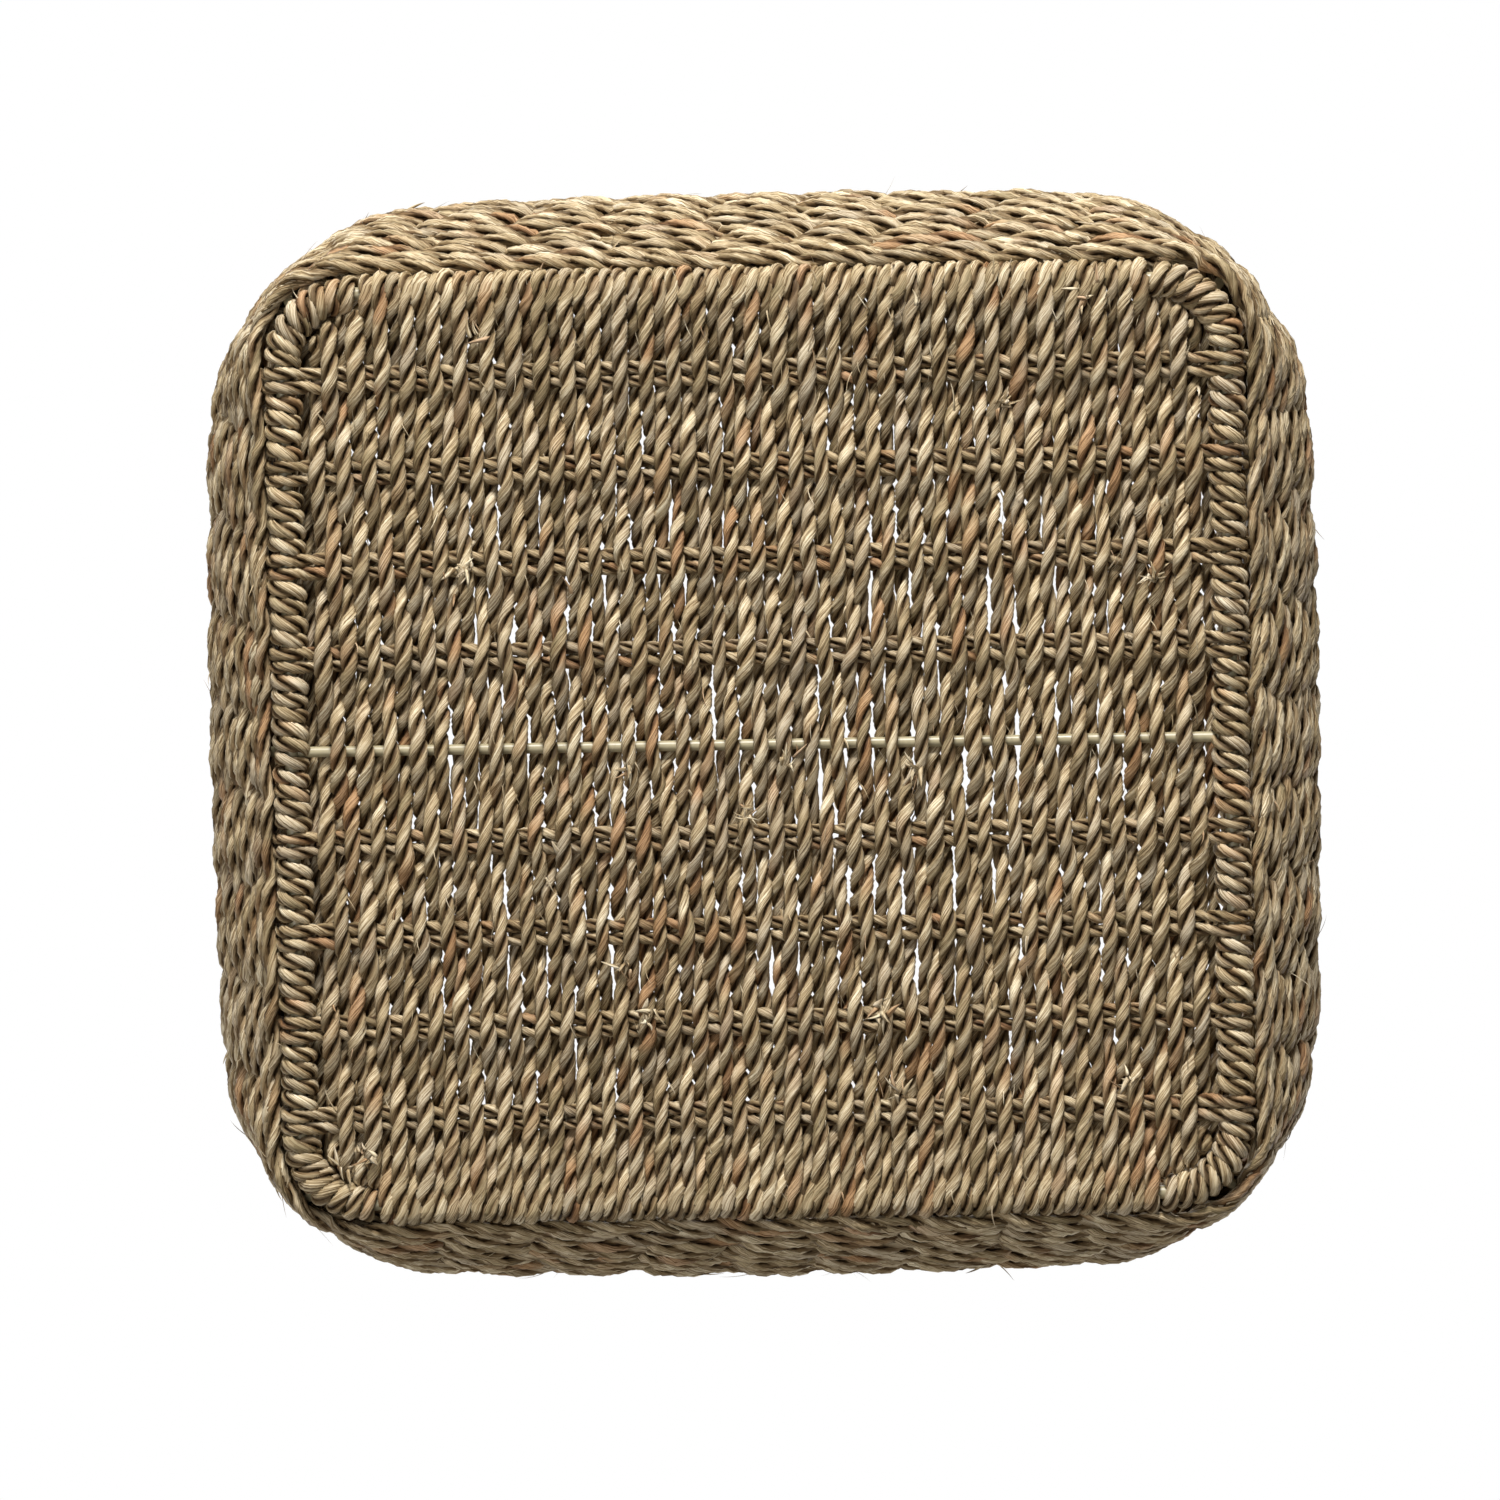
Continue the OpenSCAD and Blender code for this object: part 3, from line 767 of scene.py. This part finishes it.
class BASKET_OT_double_stakes(bpy.types.Operator):
    """Lay the double cords across the base and up the left and right walls"""

    bl_idname = "basket.double_stakes"
    bl_label = "Lay double stakes"

    def execute(self, context):
        sizes = context.scene.basket_sizes
        for row in [k for k in range(-SIDE_STAKES, SIDE_STAKES + 1) if k != 0]:
            weave = Weave(200 + row)
            for shift in (-1, 1):
                d = shift * PAIR_SHIFT
                y = row * STAKE_PITCH + d
                turn = [(RING_HALF[0] + STAKE_TURN * math.cos(a), y, RING_Z + STAKE_TURN * math.sin(a))
                        for a in np.radians(TURN_ANGLES)]
                right_wall = stake_rise(SIDE_STAKES + row, d)
                left_wall = stake_rise(2 * SIDE_UNITS + SIDE_STAKES - row, -d)
                floor = [(x, y, WEFT_Z) for x in np.linspace(-0.16, 0.16, 9)]
                mirror = [(-x, yy, z) for x, yy, z in turn]
                path = smooth(left_wall[::-1] + mirror[::-1] + floor + turn + right_wall, 6)
                up = np.tile([0.0, 1.0, 0.0], (len(path), 1))
                weave.cord(path, up, STAKE_CORD * 1.04, sizes.twist_pitch, 0.0022, sides=6)
            side = "front" if row < 0 else "back"
            weave.piece(f"double_stake_{side}_{abs(row)}", [f"base_stake_{side}_{abs(row)}"],
                        "seagrass_stake")
        return {"FINISHED"}


class BASKET_OT_wall_stakes(bpy.types.Operator):
    """Set the double stakes of the front and back walls"""

    bl_idname = "basket.wall_stakes"
    bl_label = "Set wall stakes"

    def execute(self, context):
        sizes = context.scene.basket_sizes
        for name, side in (("back", 1), ("front", 3)):
            weave = Weave(300 + side)
            for k in range(2 * SIDE_STAKES + 1):
                for shift in (-1, 1):
                    path = smooth(stake_rise(side * SIDE_UNITS + k, shift * PAIR_SHIFT), 6)
                    _, n = wall(0.1, [side * SIDE_UNITS + k])
                    up = np.tile([n[0, 0], n[0, 1], 0.0], (len(path), 1))
                    weave.cord(path, up, STAKE_CORD, sizes.twist_pitch, 0.003, sides=5)
            weave.piece(f"twisted_{name}_stakes", [f"{name}_stakes"], "seagrass_stake")
        return {"FINISHED"}


# ---- Wrapping ----

FLAT_STEPS = 23  # points along a straight side of a ring
CORNER_STEP = 5  # degrees from one point to the next on its corner
WIND_STEPS = 24  # points on one turn of wrapping
WIND_DRIFT = (0.0005, 0.011)
WIND_STEP = 0.0017
WIND_SQUASH = (1.08, 0.86)
RUN_PAST = 0.0016  # how far the wrapping of a rail runs past its corners
SLOT_ROOM = 0.0006  # room between the wrapping and a double that passes through it


def ring_path(half_x, half_y, corner, from_angle, to_angle, z):
    """Points and outward normals of a rounded rectangle, from one angle of its normal to another."""
    points, normals = [], []
    centres = {0: (1, 1), 90: (-1, 1), 180: (-1, -1), 270: (1, -1)}
    angle = from_angle
    while angle <= to_angle:
        a = math.radians(angle)
        quarter = (angle // 90) * 90 % 360
        sx, sy = centres[quarter]
        n = (math.cos(a), math.sin(a))
        cx, cy = sx * (half_x - corner), sy * (half_y - corner)
        if angle % 90 == 0 and angle > from_angle:
            bx, by = centres[(quarter - 90) % 360]
            for t in np.linspace(0, 1, FLAT_STEPS, endpoint=False):
                x = (bx + (sx - bx) * t) * (half_x - corner)
                y = (by + (sy - by) * t) * (half_y - corner)
                points.append((x + corner * n[0], y + corner * n[1], z))
                normals.append((*n, 0))
        points.append((cx + corner * n[0], cy + corner * n[1], z))
        normals.append((*n, 0))
        angle += CORNER_STEP
    return np.array(points), np.array(normals)


def wind(weave, centre, normals, runs, width, pitch, start):
    """Winds a cord round a wire in touching turns along each run, and passes straight between them."""
    along = distances(centre)
    total = along[-1]
    s, phi = [], []
    angle = start
    for a, b in runs:
        turns = max(1, round((b - a) / width))
        steps = WIND_STEPS * turns
        t = np.arange(steps + 1) / steps
        s.append(a + (b - a) * t)
        phi.append(angle + 2 * math.pi * turns * t)
        angle += 2 * math.pi * turns
    s, phi = np.concatenate(s), np.concatenate(phi)
    s = s + drift(weave.rng, total + 0.01, np.clip(s, 0, total), WIND_DRIFT)
    at = np.column_stack([np.interp(s, along, centre[:, k]) for k in range(3)])
    n = unit(np.column_stack([np.interp(s, along, normals[:, k]) for k in range(3)]))
    out = n * np.cos(phi)[:, None] + np.array([0, 0, 1.0]) * np.sin(phi)[:, None]
    path = at + out * WRAP_SEAT
    weave.cord(path, out, width, pitch, WIND_STEP, sides=6, squash=WIND_SQUASH)


LINING_IN, LINING_Z = 0.0070, 0.0156  # in from the ring's wire, and height
LINING_TURN = 20  # degrees past the start of the rail's corner


class BASKET_OT_rail_wrapping(bpy.types.Operator):
    """Wind cord round the two side rails and the corners of the base ring"""

    bl_idname = "basket.rail_wrapping"
    bl_label = "Wrap base rails"

    def execute(self, context):
        sizes = context.scene.basket_sizes
        straight = 2 * (RING_HALF[1] - BASE_CORNER_R)
        slot = STAKE_CORD + SLOT_ROOM
        for name, begin in (("right", -90), ("left", 90)):
            weave = Weave(400 + begin)
            arc = math.pi / 2 * BASE_CORNER_R
            first = begin % 360
            centre, normals = ring_path(*RING_HALF, BASE_CORNER_R, first, first + 180, RING_Z)
            ends = unit(centre[[0, -1]] - centre[[1, -2]]) * RUN_PAST
            centre = np.vstack([centre[0] + ends[0], centre, centre[-1] + ends[1]])
            normals = np.vstack([normals[0], normals, normals[-1]])
            arc += RUN_PAST
            edges = [0.0]
            for k in range(-SIDE_STAKES, SIDE_STAKES + 1):
                if k != 0:
                    middle = arc + straight / 2 + k * STAKE_PITCH
                    edges += [middle - slot, middle + slot]
            edges.append(2 * arc + straight)
            runs = [(edges[i], edges[i + 1]) for i in range(0, len(edges), 2)]
            wind(weave, centre, normals, runs, sizes.wrap_cord, sizes.twist_pitch, math.radians(100))
            # One cord lies in the angle between the base and the rail, inside the basket, and closes it
            inner, up = ring_path(*(v - LINING_IN for v in (*RING_HALF, BASE_CORNER_R)),
                                  first + LINING_TURN, first + 180 - LINING_TURN, LINING_Z)
            weave.cord(inner, up, sizes.base_cord, sizes.twist_pitch, 0.0024, sides=6)
            weave.fray(120, 0.007, 0.0007)
            weave.piece(f"wound_{name}_rail", [f"{name}_rail_wrap"], "seagrass_wrapping")
        return {"FINISHED"}


class BASKET_OT_rim_wrapping(bpy.types.Operator):
    """Wind cord round the rim ring"""

    bl_idname = "basket.rim_wrapping"
    bl_label = "Wrap rim"

    def execute(self, context):
        sizes = context.scene.basket_sizes
        weave = Weave(500)
        half = (RIM_HI.x - RING_WIRE / 2, RIM_HI.y - RING_WIRE / 2)
        centre, normals = ring_path(*half, WALL_CORNER_R, 45, 405, RIM_Z)
        whole = [(0.0, distances(centre)[-1])]
        wind(weave, centre, normals, whole, sizes.wrap_cord, sizes.twist_pitch, math.radians(200))
        weave.fray(260, 0.008, 0.0007)
        weave.piece("wound_rim", ["rim_wrap"], "seagrass_wrapping")
        return {"FINISHED"}


# ---- Wall rows ----

WALL_REACH = 0.0052  # from the wall's middle surface to the middle of a cord that passes a stake
WALL_CROSS = 0.0026  # how far outside the middle surface the two cords cross between stakes
WALL_LEAST = 0.0165  # below this height there is only the outside pass, because the ring is inside it
CROSS_LIFT = 0.0019  # how far a cord rides over the other where the two cross
CROSS_HOLD = 0.72  # how long a cord holds its side of the stakes before it crosses; lower is longer
ROW_WAVER = (0.0008, 1.7)  # how far a row strays up or down; its spacing is in stakes
ROW_EARLY = (0.20, 1.3)  # how far a crossing strays along the row, in stakes
ROW_POINTS = 16  # points from one stake to the next
ROW_STEP = 0.0031
ROW_SQUASH = (1.06, 0.88)
ROW_TWIST = 1.35  # length of a turn here, as a share of its length in the base
ROW_LOW = 0.0095  # height of the lowest row
NEAR = 0.001  # distance over which the wall's lean is measured


def row_heights(pitch):
    """Heights of the rows, spaced evenly along the leaning wall."""
    z = np.linspace(ROW_LOW, WALL_TOP - 0.0012, 600)
    run = distances(np.column_stack([swell_at(z), z]))
    count = int(round(run[-1] / pitch))
    return np.interp(np.linspace(0, run[-1], count + 1), run, z)


class BASKET_OT_wall_rows(bpy.types.Operator):
    """Twine the rows of the wall, two cords to a row, round every stake"""

    bl_idname = "basket.wall_rows"
    bl_label = "Twine wall rows"

    def execute(self, context):
        sizes = context.scene.basket_sizes
        tops = [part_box(f"wall_course_{i + 1}")[1].z for i in range(COURSES)]
        tops[-1] = math.inf      # the last course takes every row that is left
        heights = row_heights(sizes.row_pitch)
        place = np.arange(0, BASKET_UNITS, 1 / ROW_POINTS)
        weaves = [Weave(600 + i) for i in range(COURSES)]
        for z in heights:
            weave = weaves[next(i for i, top in enumerate(tops) if z < top)]
            rng = weave.rng
            points, normals = wall(z, place)
            lean = (swell_at(z + NEAR) - swell_at(z - NEAR)) / (2 * NEAR)
            outward = unit(np.column_stack([normals, np.full(len(place), -lean)]))
            ahead = np.column_stack([-normals[:, 1], normals[:, 0], np.zeros(len(place))])
            upward = np.cross(outward, ahead)
            upward *= np.sign(upward[:, 2:3])
            joined = np.clip(np.minimum(place, BASKET_UNITS - place), 0, 1)
            waver = drift(rng, BASKET_UNITS + 2, place, ROW_WAVER) * joined
            early = drift(rng, BASKET_UNITS + 2, place, ROW_EARLY) * joined
            for cord in range(2):
                swing = np.cos(math.pi * (place + early + cord))
                swing = np.sign(swing) * np.abs(swing) ** CROSS_HOLD
                reach = np.where(swing > 0, WALL_REACH - WALL_CROSS, WALL_REACH + WALL_CROSS)
                out = WALL_CROSS + reach * swing
                if z < WALL_LEAST:
                    if cord == 1:
                        continue
                    out = np.abs(out) * 0.4 + WALL_REACH * 0.6
                up_down = CROSS_LIFT * np.sin(math.pi * (place + early + cord)) + waver
                path = np.column_stack([points, np.full(len(place), z)])
                path = path + outward * out[:, None] + upward * up_down[:, None]
                width = sizes.wall_cord * rng.uniform(0.95, 1.06)
                weave.cord(path, outward, width, ROW_TWIST * sizes.twist_pitch, ROW_STEP, sides=5,
                           closed=True, squash=ROW_SQUASH)
        for i, weave in enumerate(weaves):
            weave.fray(300, 0.012, 0.0008)
            weave.fray(40, 0.010, 0.0024)
            weave.piece(f"twined_course_{i + 1}", [f"wall_course_{i + 1}"], "seagrass_wall")
        return {"FINISHED"}


# ---- Wires ----

class BASKET_OT_wire_finish(bpy.types.Operator):
    """Give the rings, the posts and the cross bar their cream coating"""

    bl_idname = "basket.wire_finish"
    bl_label = "Coat wires"

    def execute(self, context):
        wires = [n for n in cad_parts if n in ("base_ring", "rim_ring", "cross_bar") or "post" in n]
        if len(wires) < WIRES:
            raise RuntimeError("the frame has fewer wires than the basket needs")
        for name in wires:
            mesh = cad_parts[name].data
            mesh.materials.clear()
            mesh.materials.append(finish_of("coated_wire"))
        return {"FINISHED"}


# ---- Stage ----

VIEW_FROM = (0.0503, -0.1205, -2.0)  # where the camera is
VIEW_AT = (-0.0037, 0.0015, 0.0)  # where it looks, in the plane of the base
VIEW_ROLL = -1.07  # degrees
LENS, SENSOR = 129.7, 36.0  # millimetres


# Each soft lamp: name, place, what it is aimed at, width in metres and power in watts
LAMPS = (
    ("key_below_front", (0.05, -2.1, -1.10), (0, 0, 0.03), 0.6, 92),
    ("fill_below", (-0.9, 0.1, -2.3), (0, 0, 0), 1.5, 21),
    ("side_soft", (2.0, 1.2, 1.3), (0, 0, 0.1), 1.4, 26),
    ("back_soft", (-1.6, 1.7, 1.2), (0, 0, 0.1), 1.4, 24),
)


def area_light(name, place, aim, size, power):
    """Adds a square lamp at a place, turned to face aim."""
    data = bpy.data.lights.new(name, "AREA")
    data.shape = "SQUARE"
    data.size = size
    data.energy = power
    obj = bpy.data.objects.new(name, data)
    obj.location = place
    obj.rotation_euler = (Vector(aim) - Vector(place)).to_track_quat("-Z", "Y").to_euler()
    bpy.context.scene.collection.objects.link(obj)


class BASKET_OT_stage(bpy.types.Operator):
    """Set the floor, the lights, the white surroundings and the camera below the basket"""

    bl_idname = "basket.stage"
    bl_label = "Set stage"

    def execute(self, context):
        scene = context.scene
        bpy.ops.object.select_all(action="DESELECT")
        bpy.ops.mesh.primitive_plane_add(size=12, location=(0, 0, -0.0002))
        floor = context.active_object
        floor.name = "floor"
        paper, tree, surface = new_material("pale_floor")
        surface.inputs["Base Color"].default_value = (0.83, 0.82, 0.80, 1)
        surface.inputs["Roughness"].default_value = 0.85
        clear = new_node(tree, "ShaderNodeBsdfTransparent", (0, -300))
        facing = new_node(tree, "ShaderNodeNewGeometry", (0, 300))
        # The floor is clear from below, so that the underside can be seen through it
        either = shaders_mixed(tree, facing.outputs["Backfacing"], surface.outputs[0], clear.outputs[0],
                               (320, 100))
        link(tree, either, tree.nodes["Material Output"].inputs[0])
        floor.data.materials.append(paper)
        for ray in ("shadow", "diffuse", "glossy", "transmission"):
            setattr(floor, f"visible_{ray}", False)

        world = bpy.data.worlds.new("surroundings")
        world.use_nodes = True
        scene.world = world
        tree = world.node_tree
        lit = tree.nodes["Background"]
        lit.inputs[0].default_value = (1.0, 0.99, 0.97, 1)
        lit.inputs[1].default_value = 0.20
        seen = new_node(tree, "ShaderNodeBackground", (0, -200))
        seen.inputs[0].default_value = (1, 1, 1, 1)
        seen.inputs[1].default_value = 1.0
        ray = new_node(tree, "ShaderNodeLightPath", (-200, 200))
        either = shaders_mixed(tree, ray.outputs["Is Camera Ray"], lit.outputs[0], seen.outputs[0],
                               (220, 0))
        link(tree, either, tree.nodes["World Output"].inputs[0])

        for lamp in LAMPS:
            area_light(*lamp)
        # An even light from above reaches the whole floor
        data = bpy.data.lights.new("sky", "SUN")
        data.energy = 2.3
        data.angle = math.radians(50)
        data.color = (1.0, 0.985, 0.965)
        sky = bpy.data.objects.new("sky", data)
        sky.rotation_euler = (math.radians(14), math.radians(-18), 0)
        scene.collection.objects.link(sky)

        camera_data = bpy.data.cameras.new("camera")
        camera_data.sensor_width = SENSOR
        camera_data.lens = LENS
        camera = bpy.data.objects.new("camera", camera_data)
        scene.collection.objects.link(camera)
        back = (Vector(VIEW_FROM) - Vector(VIEW_AT)).normalized()
        right = Vector((0, -1, 0)).cross(back).normalized()
        basis = Matrix((right, back.cross(right), back)).transposed()
        camera.location = VIEW_FROM
        camera.rotation_euler = (basis @ Euler((0, 0, math.radians(VIEW_ROLL))).to_matrix()).to_euler()
        scene.camera = camera
        scene.view_settings.view_transform = "Standard"
        return {"FINISHED"}


class BASKET_PT_panel(bpy.types.Panel):
    """Lists the basket's pieces in the order in which they are made"""

    bl_label = "Basket"
    bl_idname = "BASKET_PT_panel"
    bl_space_type = "VIEW_3D"
    bl_region_type = "UI"
    bl_category = "Basket"

    def draw(self, context):
        sizes = context.scene.basket_sizes
        for name in sizes.bl_rna.properties.keys():
            if name not in ("rna_type", "name"):
                self.layout.prop(sizes, name)
        for operator in OPERATORS:
            self.layout.operator(operator.bl_idname)


OPERATORS = (
    BASKET_OT_wire_finish,
    BASKET_OT_base_cords,
    BASKET_OT_double_stakes,
    BASKET_OT_wall_stakes,
    BASKET_OT_rail_wrapping,
    BASKET_OT_rim_wrapping,
    BASKET_OT_wall_rows,
    BASKET_OT_stage,
)
CLASSES = (BasketSizes, *OPERATORS, BASKET_PT_panel)


def register():
    for cls in CLASSES:
        bpy.utils.register_class(cls)
    bpy.types.Scene.basket_sizes = bpy.props.PointerProperty(type=BasketSizes)


def unregister():
    del bpy.types.Scene.basket_sizes
    for cls in reversed(CLASSES):
        bpy.utils.unregister_class(cls)


def main():
    register()
    bpy.ops.object.select_all(action="DESELECT")
    for operator in OPERATORS:
        module, name = operator.bl_idname.split(".")
        getattr(getattr(bpy.ops, module), name)()


if __name__ == "__main__":
    main()
